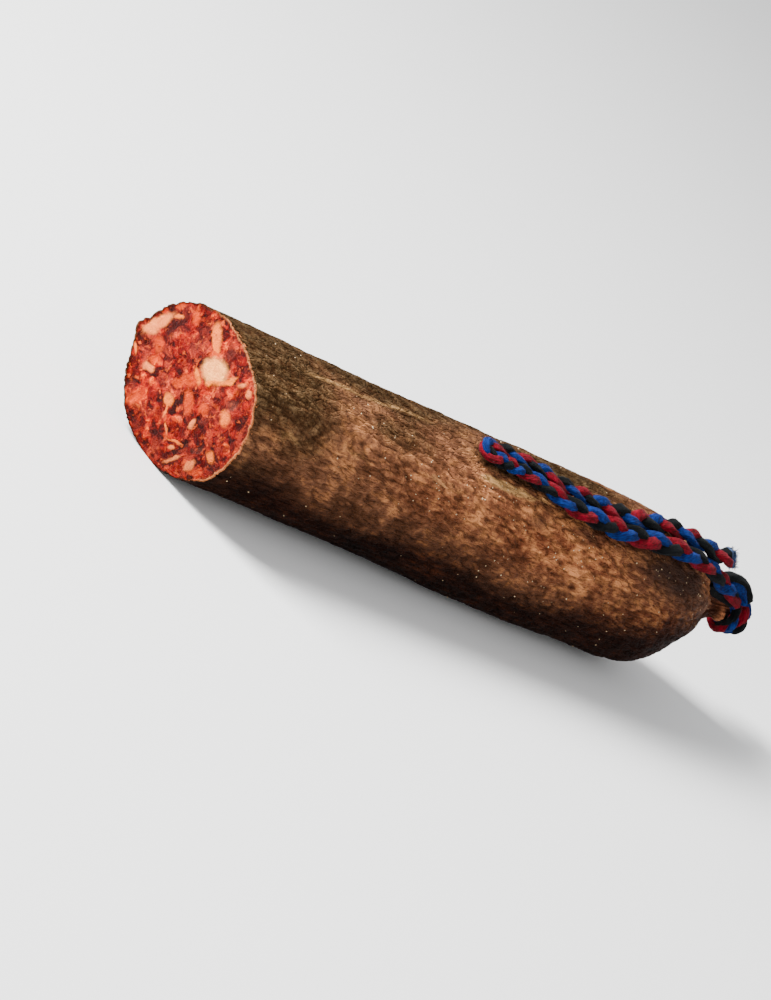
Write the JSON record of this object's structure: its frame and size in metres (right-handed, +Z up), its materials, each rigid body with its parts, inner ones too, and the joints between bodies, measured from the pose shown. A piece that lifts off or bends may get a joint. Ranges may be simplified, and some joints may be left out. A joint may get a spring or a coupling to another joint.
{
  "type": "cured sausage half",
  "caption": "Half of a cured sausage with a slanted cut face, a natural casing gathered into a tied neck, and a plaited hanging cord doubled back along its top.",
  "frame": {"origin": "centre of the sausage's box on the surface that it lies on, measured without the cord", "axes": "+X along the sausage towards its tied end, +Z up, with the shown side facing -Y and up"},
  "size_m": [0.2813, 0.0536, 0.0571],
  "materials": {
    "casing": "dry natural casing, brown, with a dusty grey-olive bloom; the cut shows coarse red paprika meat with pale fat",
    "cord": "fuzzy plaited yarn, one strand each of crimson, royal blue and black"
  },
  "bodies": {
    "root": {"sausage": "casing", "neck_tie": "cord", "cord_loop": "cord"}
  },
  "joints": []
}
